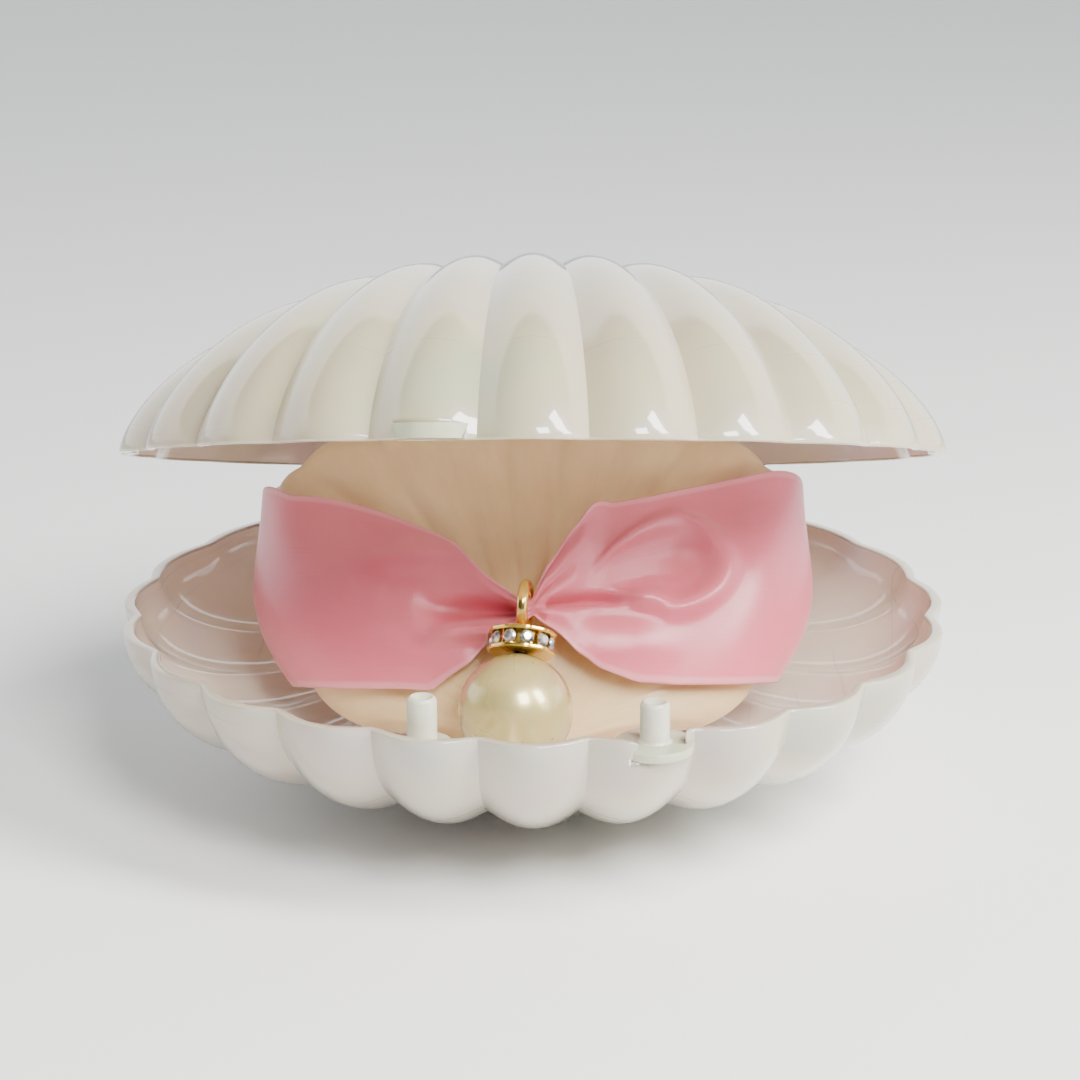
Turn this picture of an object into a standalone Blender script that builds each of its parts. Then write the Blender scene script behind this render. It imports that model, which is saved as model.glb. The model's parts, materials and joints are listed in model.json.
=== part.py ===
"""Hinged scallop-shell bubbling ornament.

Two fluted valves on a pinned hinge hold a smaller fluted insert. A ribbon round the insert carries
a pearl pendant. Two pegs on the lower rim enter two bored discs in the lid. The origin is at the
centre of the base pad's underside, +X is to the right, +Y to the hinge and +Z up.
"""
from math import asin, cos, pi, radians, sin, sqrt, tau

import bmesh
import bpy
from mathutils import Matrix, Vector

MM = 0.001
GAP = 0.3 * MM                     # between pieces that touch

# Driving dimensions: the two valves
RIM_Z = 20.0 * MM                  # height of the lower rim above the floor
VALVE_R = 43.0 * MM                # radius through the rim's inward cusps
WALL = 1.7 * MM
LOWER_DEPTH = 17.8 * MM
UPPER_DEPTH = 20.4 * MM
LOWER_PROFILE = 0.5                # 0.5 is a round dome; more is straighter from apex to rim
UPPER_PROFILE = 0.7
FLUTES = 19
FLUTE_STEP = 7.0                   # degrees at the beak for the middle flute
FLUTE_SPREAD = 0.0022              # flutes widen towards the shoulders
FLUTE_BULGE = 2.1 * MM
FOOT_R = 13.0 * MM
PAD_T = 1.0 * MM

# Hinge
HINGE_Y = 50.0 * MM
OPEN_ANGLE = radians(17.4)         # how far the lid stands open at rest
LID_GAP = 0.4 * MM                 # between the rims when shut
KNUCKLE_R = 2.3 * MM
KNUCKLE_END = 12.0 * MM
KNUCKLE_SPLIT = 4.8 * MM           # half the length of the lid's middle knuckle
PIN_R = 0.95 * MM
PIN_PLAY = 0.25 * MM

# Pegs in the bowl: side, place, disc radius, disc top below the rim, top of the disc's notch
PEGS = (("left", (-10.7 * MM, -38.9 * MM), 3.0 * MM, 1.8 * MM, -1.5 * MM),
        ("right", (11.7 * MM, -40.3 * MM), 3.9 * MM, 1.0 * MM, 3.0 * MM))
PEG_DISC_T = 1.2 * MM
PEG_R = 1.45 * MM
PEG_TOP = 2.8 * MM                 # above the lower rim
# Bored discs in the lid: side, place, radius
SOCKETS = (("left", (-9.5 * MM, -40.3 * MM), 4.2 * MM),
           ("right", (11.5 * MM, -38.6 * MM), 3.8 * MM))
SOCKET_T = 1.45 * MM
SOCKET_BORE_R = 1.8 * MM
PEG_ROOM = 3.1 * MM                # height of the relief for the peg in the lid's wall

# Insert: a leaning fan with its beak low at the front
INSERT_BEAK = Vector((0.0, -10.0 * MM, RIM_Z - 15.0 * MM))
INSERT_LEAN = radians(41.0)        # of its open face above the horizontal
INSERT_HALF_W = 28.3 * MM
INSERT_NEAR = 30.0 * MM            # beak to the widest place
INSERT_FAR = 9.4 * MM              # widest place to the top margin
INSERT_POWER = 2.7
INSERT_H = 10.7 * MM
INSERT_WALL = 1.4 * MM
INSERT_FLUTES = 15
INSERT_STEP = 10.4
INSERT_BULGE = 0.8 * MM

# Ribbon, as a plain band round the insert
RIBBON_HALF_W = 12.4 * MM
RIBBON_T = 0.5 * MM
RIBBON_NECK = 0.9 * MM
RIBBON_CLEAR = 2.2 * MM            # stand-off from the insert's sides
RIBBON_FRONT = 1.4 * MM            # and from its front
RIBBON_NECK_S = 10.6 * MM          # neck and side centres, measured from the insert's beak
RIBBON_SIDE_S = 23.0 * MM
RIBBON_NECK_LIFT = 4.2 * MM
NECK_END = 0.045                   # station where the narrow neck ends

# Pendant
RING_X = -0.8 * MM
PENDANT_LEAN = radians(33.0)
PENDANT_CANT = radians(6.0)
RING_R = 2.2 * MM
RING_WIRE_R = 0.6 * MM
STEM_R = 0.45 * MM
BEAD_BORE_R = 0.75 * MM
RONDELLE_R = 3.6 * MM
RONDELLE_H = 2.4 * MM
FLANGE_T = 0.45 * MM
STONES = 10
STONE_R = 0.68 * MM
STONE_LOW = 0.42 * MM               # half the stone's height between the flanges
STONE_DEEP = 1.0 * MM
STONE_SEAT_R = 2.7 * MM
PEARL_R = 6.0 * MM

# Air fittings and ballast
INLET_Z = RIM_Z - 9.6 * MM
DUCT_R = 1.9 * MM
AIR_BORE_R = 1.1 * MM
BUBBLER_R = 2.8 * MM
BUBBLER_LEN = 13.0 * MM
BUBBLER_Y = 23.0 * MM
SEAT_Y = 40.6 * MM                  # where the grommet sits outside the wall
GROMMET_T = 1.0 * MM
FLANGE_R = 3.4 * MM
BALLAST_R = 8.0 * MM
BALLAST_T = 2.4 * MM

for old in list(bpy.data.objects):
    bpy.data.objects.remove(old, do_unlink=True)

PARTS = bpy.data.collections.new("scallop_ornament")
CUTTERS = bpy.data.collections.new("cutters")
for group in (PARTS, CUTTERS):
    bpy.context.scene.collection.children.link(group)

MATERIALS = {}


def material(name, colour, roughness, metallic=0.0):
    """A Principled material, made once for each name."""
    if name not in MATERIALS:
        made = bpy.data.materials.new(name)
        made.use_nodes = True
        shader = made.node_tree.nodes["Principled BSDF"]
        shader.inputs["Base Color"].default_value = (*colour, 1.0)
        shader.inputs["Roughness"].default_value = roughness
        shader.inputs["Metallic"].default_value = metallic
        MATERIALS[name] = made
    return MATERIALS[name]


PEARL_PLASTIC = material("pearl_plastic", (0.83, 0.81, 0.77), 0.25)
CLEAR_PLASTIC = material("clear_plastic", (0.78, 0.8, 0.7), 0.2)
CREAM_PLASTIC = material("cream_plastic", (0.85, 0.72, 0.56), 0.35)
GOLD = material("gold_plate", (0.83, 0.62, 0.22), 0.2, 1.0)
STEEL = material("steel", (0.6, 0.6, 0.62), 0.3, 1.0)
GLASS_STONE = material("glass_stone", (0.75, 0.77, 0.8), 0.05)
PEARL = material("pearl", (0.8, 0.74, 0.6), 0.15)
SATIN = material("satin", (0.85, 0.45, 0.5), 0.45)
RUBBER = material("rubber", (0.2, 0.2, 0.2), 0.7)
AIR_STONE = material("air_stone", (0.35, 0.5, 0.62), 0.9)


def add_mesh(name, bm, look=None, parent=None, matrix=None):
    """Make an object from a bmesh. Without a look it is a hidden cutter."""
    bmesh.ops.recalc_face_normals(bm, faces=bm.faces)
    mesh = bpy.data.meshes.new(name)
    bm.to_mesh(mesh)
    bm.free()
    made = bpy.data.objects.new(name, mesh)
    if look is None:
        CUTTERS.objects.link(made)
        made.hide_render = True
        made.display_type = "WIRE"
    else:
        PARTS.objects.link(made)
        mesh.materials.append(look)
        mesh.shade_smooth()
        mesh.set_sharp_from_angle(angle=radians(35))
    made.parent = parent
    if matrix is not None:
        made.matrix_local = matrix
    return made


def cut(target, cutter, operation="DIFFERENCE"):
    """Leave an exact Boolean on the target."""
    boolean = target.modifiers.new(f"{operation.lower()}_{cutter.name}", "BOOLEAN")
    boolean.operation = operation
    boolean.solver = "EXACT"
    boolean.object = cutter
    return target


def cylinder_mesh(radius, depth, segments=32):
    """A capped cylinder along Z, centred."""
    bm = bmesh.new()
    bmesh.ops.create_cone(bm, cap_ends=True, segments=segments, radius1=radius, radius2=radius,
                          depth=depth)
    return bm


def cylinder(name, radius, low, high, look=None, parent=None, segments=32):
    """A cylinder between two points."""
    low, high = Vector(low), Vector(high)
    turn = (high - low).to_track_quat("Z", "Y").to_matrix().to_4x4()
    place = Matrix.Translation((low + high) / 2) @ turn
    return add_mesh(name, cylinder_mesh(radius, (high - low).length, segments), look, parent, place)


def block(name, low, high, look=None, parent=None, matrix=None):
    """A box between two corners."""
    bm = bmesh.new()
    bmesh.ops.create_cube(bm, size=1.0)
    low, high = Vector(low), Vector(high)
    bmesh.ops.scale(bm, vec=high - low, verts=bm.verts)
    bmesh.ops.translate(bm, vec=(low + high) / 2, verts=bm.verts)
    return add_mesh(name, bm, look, parent, matrix)


def turned(name, profile, look, matrix, parent=None, steps=32, closed=False):
    """Turn a profile of (radius, height) about Z, outer side from top to bottom."""
    bm = bmesh.new()
    points = [bm.verts.new((radius, 0.0, height)) for radius, height in profile]
    for first, second in zip(points, points[1:]):
        bm.edges.new((first, second))
    if closed:
        bm.edges.new((points[-1], points[0]))
    mesh = bpy.data.meshes.new(name)
    bm.to_mesh(mesh)
    bm.free()
    made = bpy.data.objects.new(name, mesh)
    PARTS.objects.link(made)
    mesh.materials.append(look)
    screw = made.modifiers.new("turn", "SCREW")
    screw.steps = steps
    screw.render_steps = steps
    screw.use_merge_vertices = True
    screw.merge_threshold = 0.00001
    made.parent = parent
    made.matrix_local = matrix
    return made


# Fan-shaped solids, shared by the valves and the insert

def inside(x, s, half_w, near, far, power):
    """Below 1 inside the outline; s runs from the beak, and the widest place is at near."""
    along = (s - near) / (near if s < near else far)
    return abs(x / half_w) ** power + abs(along) ** power


def reach(angle, half_w, near, far, power):
    """Distance from the beak to the outline along a ray, by bisection."""
    low, high = 0.01 * MM, 2.2 * (near + half_w)
    for _ in range(48):
        middle = (low + high) / 2
        value = inside(middle * sin(angle), middle * cos(angle), half_w, near, far, power)
        low, high = (middle, high) if value < 1 else (low, middle)
    return (low + high) / 2


def fan_solid(half_w, near, far, power, height, profile, flutes, step, spread, bulge, split=4,
              rows=9, skirt=0.0):
    """A domed, fluted fan with its beak at the origin, its axis on +Y and its flat face on Z 0.

    The skirt carries the flat face below Z 0, for a cutter that has to pass through a rim.
    """
    columns = flutes * split
    bm = bmesh.new()
    bmesh.ops.create_grid(bm, x_segments=columns, y_segments=rows, size=1.0)
    grid = {}
    for vert in bm.verts:
        across, along = vert.co.x, (vert.co.y + 1) / 2
        grid[round((across + 1) / 2 * columns), round(along * rows)] = vert
        flute = across * flutes / 2
        angle = radians(step * flute * (1 + spread * flute * flute))
        distance = reach(angle, half_w, near, far, power) * (1 - cos(pi * along)) / 2
        x, s = distance * sin(angle), distance * cos(angle)
        rise = height * max(0.0, 1 - inside(x, s, half_w, near, far, power)) ** profile
        rise = 0.0 if along > 0.999 else rise
        length = near if s < near else far
        slope = Vector((power * abs(x / half_w) ** (power - 1) / half_w * (1 if x > 0 else -1),
                        power * abs((s - near) / length) ** (power - 1) / length
                        * (1 if s > near else -1),
                        (rise / height) ** (1 / profile - 1) / profile / height))
        swell = bulge * distance / (near + far) * (1 - (2 * (flute - round(flute))) ** 2)
        vert.co = Vector((x, s, rise)) + slope.normalized() * swell
    bmesh.ops.pointmerge(bm, verts=[grid[i, 0] for i in range(columns + 1)], merge_co=(0, 0, 0))
    beak = grid[0, 0]
    for i in (0, columns):
        bm.faces.new([beak] + [grid[i, j] for j in range(1, rows + 1)])
    flat = bm.faces.new([beak] + [grid[i, rows] for i in range(columns + 1)])
    if skirt:
        made = bmesh.ops.extrude_face_region(bm, geom=[flat])["geom"]
        lower = [item for item in made if isinstance(item, bmesh.types.BMVert)]
        bmesh.ops.translate(bm, vec=(0, 0, -skirt), verts=lower)
        if flat.is_valid:
            bm.faces.remove(flat)
    return bm


def valve_mesh(grow, depth, profile, side, skirt=0.0, bulge=FLUTE_BULGE):
    """A valve's solid, grown outwards, with its rim circle centred on the origin.

    The side is 1 for a dome above the rim plane and -1 for a bowl below it.
    """
    radius = VALVE_R + grow
    bm = fan_solid(radius, radius, radius, 2.0, depth + grow, profile, FLUTES, FLUTE_STEP,
                   FLUTE_SPREAD, bulge, skirt=skirt)
    place = Matrix.Translation((0, radius, 0)) @ Matrix.Diagonal((1, -1, side, 1))
    bmesh.ops.transform(bm, matrix=place, verts=bm.verts)
    return bm


def insert_width(s):
    """Half the insert's width at a distance from its beak."""
    length = INSERT_NEAR if s < INSERT_NEAR else INSERT_FAR
    along = abs((s - INSERT_NEAR) / length) ** INSERT_POWER
    return INSERT_HALF_W * max(0.0, 1 - along) ** (1 / INSERT_POWER)


def insert_height(s):
    """The insert's height on its middle line, without its flutes."""
    length = INSERT_NEAR if s < INSERT_NEAR else INSERT_FAR
    return INSERT_H * sqrt(max(0.0, 1 - abs((s - INSERT_NEAR) / length) ** INSERT_POWER))


# Frames: the lower rim's centre, the lid on its hinge axis, the insert's beak, the pendant's ring

LOWER = Matrix.Translation((0, 0, RIM_Z))
HINGE_AXIS = Vector((0, HINGE_Y, RIM_Z + LID_GAP / 2))
lid = bpy.data.objects.new("lid_axis", None)
PARTS.objects.link(lid)
lid.matrix_world = Matrix.Translation(HINGE_AXIS) @ Matrix.Rotation(-OPEN_ANGLE, 4, "X")
LID_RIM = Matrix.Translation((0, -HINGE_Y, LID_GAP / 2))     # the lid's rim, from its axis
INSERT = Matrix.Translation(INSERT_BEAK) @ Matrix.Rotation(INSERT_LEAN, 4, "X")
pendant = bpy.data.objects.new("pendant_axis", None)
PARTS.objects.link(pendant)
NECK = Vector((RING_X, RIBBON_NECK_S,
               insert_height(RIBBON_NECK_S) + RIBBON_FRONT + RIBBON_NECK_LIFT))
RING_CENTRE = INSERT @ NECK
pendant.matrix_world = (Matrix.Translation(RING_CENTRE) @ Matrix.Rotation(PENDANT_CANT, 4, "Y")
                        @ Matrix.Rotation(-PENDANT_LEAN, 4, "X"))
bpy.context.view_layer.update()


def make_lower_valve():
    """Fluted bowl with a round foot, one notch for each peg disc and the air inlet's hole."""
    valve = add_mesh("lower_valve", valve_mesh(0, LOWER_DEPTH, LOWER_PROFILE, -1), PEARL_PLASTIC, None, LOWER)
    foot_top = RIM_Z - LOWER_DEPTH + 0.2 * MM
    cut(valve, cylinder("foot", FOOT_R, (0, 0, PAD_T + GAP), (0, 0, foot_top), segments=48), "UNION")
    cavity = valve_mesh(-WALL, LOWER_DEPTH, LOWER_PROFILE, -1, 3 * MM)
    cut(valve, add_mesh("lower_cavity", cavity, matrix=LOWER))
    for side, (x, y), radius, drop, notch in PEGS:
        cut(valve, cylinder(f"peg_notch_{side}", radius + GAP,
                            (x, y, RIM_Z - drop - PEG_DISC_T - GAP), (x, y, RIM_Z + notch)))
    cut(valve, cylinder("inlet_hole", DUCT_R + GAP, (0, BUBBLER_Y, INLET_Z),
                        (0, VALVE_R + 5 * MM, INLET_Z), segments=24))
    return valve


def make_upper_valve():
    """Fluted lid with a notch for each bored disc and room for the end of its peg."""
    valve = add_mesh("upper_valve", valve_mesh(0, UPPER_DEPTH, UPPER_PROFILE, 1), PEARL_PLASTIC,
                     lid, LID_RIM)
    cavity = valve_mesh(-WALL, UPPER_DEPTH, UPPER_PROFILE, 1, 3 * MM)
    cut(valve, add_mesh("upper_cavity", cavity, None, lid, LID_RIM))
    for side, place, radius in SOCKETS:
        low = LID_RIM @ Vector((*place, -3 * MM))
        high = LID_RIM @ Vector((*place, SOCKET_T + 2 * GAP))
        cut(valve, cylinder(f"socket_notch_{side}", radius + GAP, low, high, None, lid))
    for side, place, *_ in PEGS:
        low = LID_RIM @ Vector((*place, -3 * MM))
        high = LID_RIM @ Vector((*place, PEG_ROOM))
        cut(valve, cylinder(f"peg_relief_{side}", SOCKET_BORE_R, low, high, None, lid, 24))
    return valve


def make_base():
    """Pad under the foot, and the ballast plate on the bowl's floor."""
    cylinder("base_pad", FOOT_R - 0.5 * MM, (0, 0, 0), (0, 0, PAD_T), RUBBER, None, 48)
    ballast_y = 9.5 * MM
    far_edge = (ballast_y + BALLAST_R) / (VALVE_R - WALL)
    floor = RIM_Z - (LOWER_DEPTH - WALL) * sqrt(1 - far_edge ** 2) + GAP
    cylinder("ballast_plate", BALLAST_R, (0, ballast_y, floor), (0, ballast_y, floor + BALLAST_T),
             STEEL)


def make_pegs():
    """Slightly tapered pegs with a sunk top, each on its own glued disc."""
    for side, place, radius, drop, _ in PEGS:
        base, top = -PEG_DISC_T, PEG_TOP + drop
        profile = [(0, top - 0.35 * MM), (0.75 * MM, top - 0.25 * MM), (1.05 * MM, top),
                   (PEG_R - 0.1 * MM, top - 0.25 * MM), (PEG_R, 0.3 * MM),
                   (PEG_R + 0.25 * MM, 0), (radius - 0.2 * MM, 0), (radius, -0.2 * MM),
                   (radius, base), (0, base)]
        turned(f"peg_{side}", profile, CLEAR_PLASTIC,
               Matrix.Translation((*place, RIM_Z - drop)), steps=28)


def make_sockets():
    """Discs in the lid's rim, each bored where its peg enters."""
    for (side, place, radius), (_, peg_place, *_) in zip(SOCKETS, PEGS):
        low = LID_RIM @ Vector((*place, GAP / 2))
        disc = cylinder(f"socket_{side}", radius, low, low + Vector((0, 0, SOCKET_T)),
                        CLEAR_PLASTIC, lid)
        bore = LID_RIM @ Vector((*peg_place, 0))
        cut(disc, cylinder(f"socket_bore_{side}", SOCKET_BORE_R, bore - Vector((0, 0, 3 * MM)),
                           bore + Vector((0, 0, 5 * MM)), None, lid, 24))


def hinge_bracket(name, depth, profile, side, parent, rim, spans, axis_z):
    """A saddle block on the outside of the valve's beak, with its knuckles on the hinge axis."""
    inner, outer = 0.6 * MM * side, 5.6 * MM * side
    low_z, high_z = sorted((inner, outer))
    half = KNUCKLE_END
    back = HINGE_Y - KNUCKLE_R - 1.7 * MM
    body = block(name, (-half, 34 * MM, low_z), (half, back, high_z), PEARL_PLASTIC, parent, rim)
    arm_low, arm_high = sorted((axis_z + 0.1 * MM * side, axis_z + (KNUCKLE_R - 0.2 * MM) * side))
    for number, (first, last) in enumerate(spans):
        arm = block(f"{name}_arm_{number}", (first, back - 1.5 * MM, arm_low),
                    (last, HINGE_Y, arm_high), None, parent, rim)
        cut(body, arm, "UNION")
        barrel = cylinder(f"{name}_barrel_{number}", KNUCKLE_R, rim @ Vector((first, HINGE_Y, axis_z)),
                          rim @ Vector((last, HINGE_Y, axis_z)), None, parent, 28)
        cut(body, barrel, "UNION")
    seat = valve_mesh(GAP, depth, profile, side, 4 * MM)
    cut(body, add_mesh(f"{name}_seat", seat, None, parent, rim))
    bore = cylinder(f"{name}_bore", PIN_R + PIN_PLAY, rim @ Vector((-half - 3 * MM, HINGE_Y, axis_z)),
                    rim @ Vector((half + 3 * MM, HINGE_Y, axis_z)), None, parent, 24)
    cut(body, bore)
    return body


def make_hinge():
    """Two brackets, a headed pin and the cap pushed on its plain end."""
    outer = ((-KNUCKLE_END, -KNUCKLE_SPLIT - GAP), (KNUCKLE_SPLIT + GAP, KNUCKLE_END))
    hinge_bracket("lower_hinge_bracket", LOWER_DEPTH, LOWER_PROFILE, -1, None, LOWER, outer,
                  LID_GAP / 2)
    middle = ((-KNUCKLE_SPLIT, KNUCKLE_SPLIT),)
    hinge_bracket("upper_hinge_bracket", UPPER_DEPTH, UPPER_PROFILE, 1, lid, LID_RIM, middle,
                  -LID_GAP / 2)
    to_x = Matrix.Translation(HINGE_AXIS) @ Matrix.Rotation(pi / 2, 4, "Y")
    end = KNUCKLE_END + GAP
    head_r = 1.8 * MM
    pin = [(0, end + 0.9 * MM), (head_r - 0.5 * MM, end + 0.7 * MM), (head_r, end + 0.2 * MM),
           (head_r, end), (PIN_R, end), (PIN_R, -end - 1.2 * MM), (PIN_R - 0.2 * MM, -end - 1.4 * MM),
           (0, -end - 1.4 * MM)]
    turned("hinge_pin", pin, STEEL, to_x, steps=24)
    bore_r = PIN_R + GAP
    cap_end = -end - 2.2 * MM
    cap = [(head_r, -end), (head_r, cap_end + 0.3 * MM), (head_r - 0.3 * MM, cap_end), (0, cap_end),
           (0, -end - 1.7 * MM), (bore_r, -end - 1.7 * MM), (bore_r, -end)]
    turned("hinge_pin_cap", cap, STEEL, to_x, steps=24, closed=True)


def insert_mesh(grow, skirt=0.0):
    """The insert's solid, grown outwards, in its own frame with the beak at the origin."""
    bm = fan_solid(INSERT_HALF_W + grow, INSERT_NEAR + grow, INSERT_FAR + grow, INSERT_POWER,
                   INSERT_H + grow, 0.5, INSERT_FLUTES, INSERT_STEP, 0.0, INSERT_BULGE,
                   skirt=skirt)
    bmesh.ops.translate(bm, vec=(0, -grow, 0), verts=bm.verts)
    return bm


def make_insert():
    """Fluted shell, the plate that closes its open face, and the foot that it is glued to."""
    shell = add_mesh("insert_shell", insert_mesh(0), CREAM_PLASTIC, None, INSERT)
    cut(shell, add_mesh("insert_cavity", insert_mesh(-INSERT_WALL, 3 * MM), matrix=INSERT))

    plate = block("insert_back_plate", (-40 * MM, -5 * MM, 0.4 * MM), (40 * MM, 60 * MM, 1.6 * MM),
                  CREAM_PLASTIC, None, INSERT)
    cut(plate, add_mesh("plate_outline", insert_mesh(-INSERT_WALL - GAP, 3 * MM), matrix=INSERT),
        "INTERSECT")

    foot = block("insert_foot", (-11 * MM, -7.5 * MM, RIM_Z - 17 * MM),
                 (11 * MM, -1.5 * MM, RIM_Z - 5 * MM), CREAM_PLASTIC)
    floor = valve_mesh(-WALL - GAP, LOWER_DEPTH, LOWER_PROFILE, -1, bulge=0)
    cut(foot, add_mesh("floor_shape", floor, matrix=LOWER), "INTERSECT")
    cut(foot, block("under_plate", (-40 * MM, -20 * MM, -GAP), (40 * MM, 60 * MM, 30 * MM), None,
                    None, INSERT))


def ribbon_point(along, across):
    """A point of the band's right half: along runs from the neck (0) to the side (1) to the back (2)."""
    turn = min(along, 1.0) * pi / 2
    nominal = 30 * MM * sin(turn)
    centre = RIBBON_NECK_S + (RIBBON_SIDE_S - RIBBON_NECK_S) * (nominal / (30 * MM)) ** 2
    spread = min(1.0, max(0.0, (nominal - 3.6 * MM) / (20 * MM)))
    half = RIBBON_NECK + (RIBBON_HALF_W - RIBBON_NECK) * sin(spread * pi / 2)
    s = centre + across * half
    width = insert_width(s) + RIBBON_CLEAR
    if along <= 1.0:
        beyond = max(0.0, nominal - 1.6 * MM)
        lift = RIBBON_NECK_LIFT * max(0.0, 1 - beyond / (5.5 * MM)) ** 2
        height = (insert_height(s) + RIBBON_FRONT) * sqrt(1 - sin(turn) ** INSERT_POWER) + lift
        neck = max(0.0, 1 - nominal / (3 * MM))
        middle = insert_height(centre) + RIBBON_FRONT + lift
        return Vector((width * sin(turn), s, height * (1 - neck) + middle * neck))
    back = min(1.0, (along - 1.0) / 0.25)
    behind = -2.0 * MM * sin(back * pi / 2)
    inward = 2.0 * MM * (1 - cos(back * pi / 2))
    rest = max(0.0, (along - 1.25) / 0.75)
    return Vector(((width - inward) * (1 - rest), s, behind))


def make_ribbon():
    """Half of the band is a bent grid, which is thickened and mirrored."""
    front, side, back, across = 13, 3, 3, 6
    stations = ([0.0] + [NECK_END + (1 - NECK_END) * i / front for i in range(front + 1)]
                + [1 + 0.25 * i / side for i in range(1, side + 1)]
                + [1.25 + 0.75 * i / back for i in range(1, back + 1)])
    bm = bmesh.new()
    bmesh.ops.create_grid(bm, x_segments=len(stations) - 1, y_segments=across, size=1.0)
    for vert in bm.verts:
        station = stations[round((vert.co.x + 1) / 2 * (len(stations) - 1))]
        vert.co = ribbon_point(station, vert.co.y)
    band = add_mesh("ribbon_band", bm, SATIN, None, INSERT)
    mirror = band.modifiers.new("other_half", "MIRROR")
    mirror.merge_threshold = 0.00005
    thick = band.modifiers.new("thickness", "SOLIDIFY")
    thick.thickness = RIBBON_T
    thick.offset = 0.0


def make_pendant():
    """Loop pin, rondelle with its stones, and the pearl, along the pendant's own -Z."""
    top = -RING_R - RING_WIRE_R + 0.1 * MM
    rondelle_top = top - GAP / 2
    rondelle_low = rondelle_top - RONDELLE_H
    edge = asin(BEAD_BORE_R / PEARL_R)
    pearl_z = rondelle_low - GAP / 2 - PEARL_R * cos(edge)
    stem_end = pearl_z - PEARL_R - 0.1 * MM

    bpy.ops.mesh.primitive_torus_add(major_radius=RING_R, minor_radius=RING_WIRE_R,
                                     major_segments=28, minor_segments=12)
    loop = bpy.context.object
    for linked in list(loop.users_collection):
        linked.objects.unlink(loop)
    PARTS.objects.link(loop)
    loop.name = "loop_pin"
    loop.data.materials.append(GOLD)
    loop.data.transform(Matrix.Rotation(pi / 2, 4, "Y"))
    loop.parent = pendant
    loop.matrix_local = Matrix.Identity(4)
    cut(loop, cylinder("stem", STEM_R, (0, 0, stem_end - 0.3 * MM), (0, 0, -RING_R), None, pendant,
                       16), "UNION")
    cut(loop, cylinder("stem_head", 1.1 * MM, (0, 0, stem_end - 0.7 * MM),
                       (0, 0, stem_end - 0.2 * MM), None, pendant, 16), "UNION")

    hub_r = 1.5 * MM
    spool = [(RONDELLE_R - 0.15 * MM, rondelle_top), (RONDELLE_R, rondelle_top - 0.15 * MM),
             (RONDELLE_R, rondelle_top - FLANGE_T), (hub_r, rondelle_top - FLANGE_T),
             (hub_r, rondelle_low + FLANGE_T), (RONDELLE_R, rondelle_low + FLANGE_T),
             (RONDELLE_R, rondelle_low + 0.15 * MM), (RONDELLE_R - 0.15 * MM, rondelle_low),
             (BEAD_BORE_R, rondelle_low), (BEAD_BORE_R, rondelle_top)]
    turned("rondelle_setting", spool, GOLD, Matrix.Identity(4), pendant, 28, True)

    middle = (rondelle_top + rondelle_low) / 2
    for number in range(STONES):
        stone = bmesh.new()
        bmesh.ops.create_cone(stone, cap_ends=True, segments=8, radius1=STONE_R,
                              radius2=STONE_R * 0.55, depth=STONE_DEEP)
        bmesh.ops.scale(stone, vec=(STONE_LOW / STONE_R, 1, 1), verts=stone.verts)
        place = (Matrix.Rotation(tau * number / STONES, 4, "Z")
                 @ Matrix.Translation((STONE_SEAT_R, 0, middle)) @ Matrix.Rotation(pi / 2, 4, "Y"))
        add_mesh(f"rondelle_stone_{number + 1:02d}", stone, GLASS_STONE, pendant, place)

    turns = 14
    arc = [edge + (pi - 2 * edge) * i / turns for i in range(turns + 1)]
    sphere = [(PEARL_R * sin(a), pearl_z + PEARL_R * cos(a)) for a in arc]
    turned("pearl_bead", sphere, PEARL, Matrix.Identity(4), pendant, 24, True)


def make_air_fittings():
    """Hose barb with its grommet and lock ring, the duct in the bowl and the air stone."""
    along_y = Matrix.Translation((0, 0, INLET_Z)) @ Matrix.Rotation(-pi / 2, 4, "X")
    flange, end, inner = SEAT_Y + GROMMET_T + GAP, SEAT_Y + 12 * MM, BUBBLER_Y + 1.5 * MM
    crest, root, plain = 2.4 * MM, 1.8 * MM, DUCT_R - 0.3 * MM
    barb = [(1.6 * MM, end), (crest, end - 1.8 * MM), (root, end - 1.8 * MM),
            (crest, end - 4.2 * MM), (root, end - 4.2 * MM), (root, flange + 1.0 * MM),
            (FLANGE_R, flange + 1.0 * MM), (FLANGE_R, flange), (plain, flange), (plain, inner),
            (AIR_BORE_R, inner), (AIR_BORE_R, end)]
    turned("air_inlet_barb", barb, CLEAR_PLASTIC, along_y, steps=20, closed=True)
    bore = plain + GAP
    grommet = [(FLANGE_R, SEAT_Y + GROMMET_T), (FLANGE_R, SEAT_Y), (bore, SEAT_Y),
               (bore, SEAT_Y + GROMMET_T)]
    turned("inlet_grommet", grommet, RUBBER, along_y, steps=20, closed=True)
    half = BUBBLER_LEN / 2
    body = cylinder("air_stone", BUBBLER_R, (-half, BUBBLER_Y, INLET_Z),
                    (half, BUBBLER_Y, INLET_Z), AIR_STONE, None, 20)
    cut(body, cylinder("air_stone_bore", bore, (0, BUBBLER_Y, INLET_Z),
                       (0, BUBBLER_Y + 2 * BUBBLER_R, INLET_Z), segments=20))


make_lower_valve()
make_upper_valve()
make_base()
make_pegs()
make_sockets()
make_hinge()
make_insert()
make_ribbon()
make_pendant()
make_air_fittings()
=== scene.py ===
"""Studio scene of the hinged scallop-shell ornament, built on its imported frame."""
import json
from math import asin, cos, pi, radians, sin, sqrt, tau

import bmesh
import bpy
import numpy as np
from mathutils import Matrix, Vector


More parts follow.
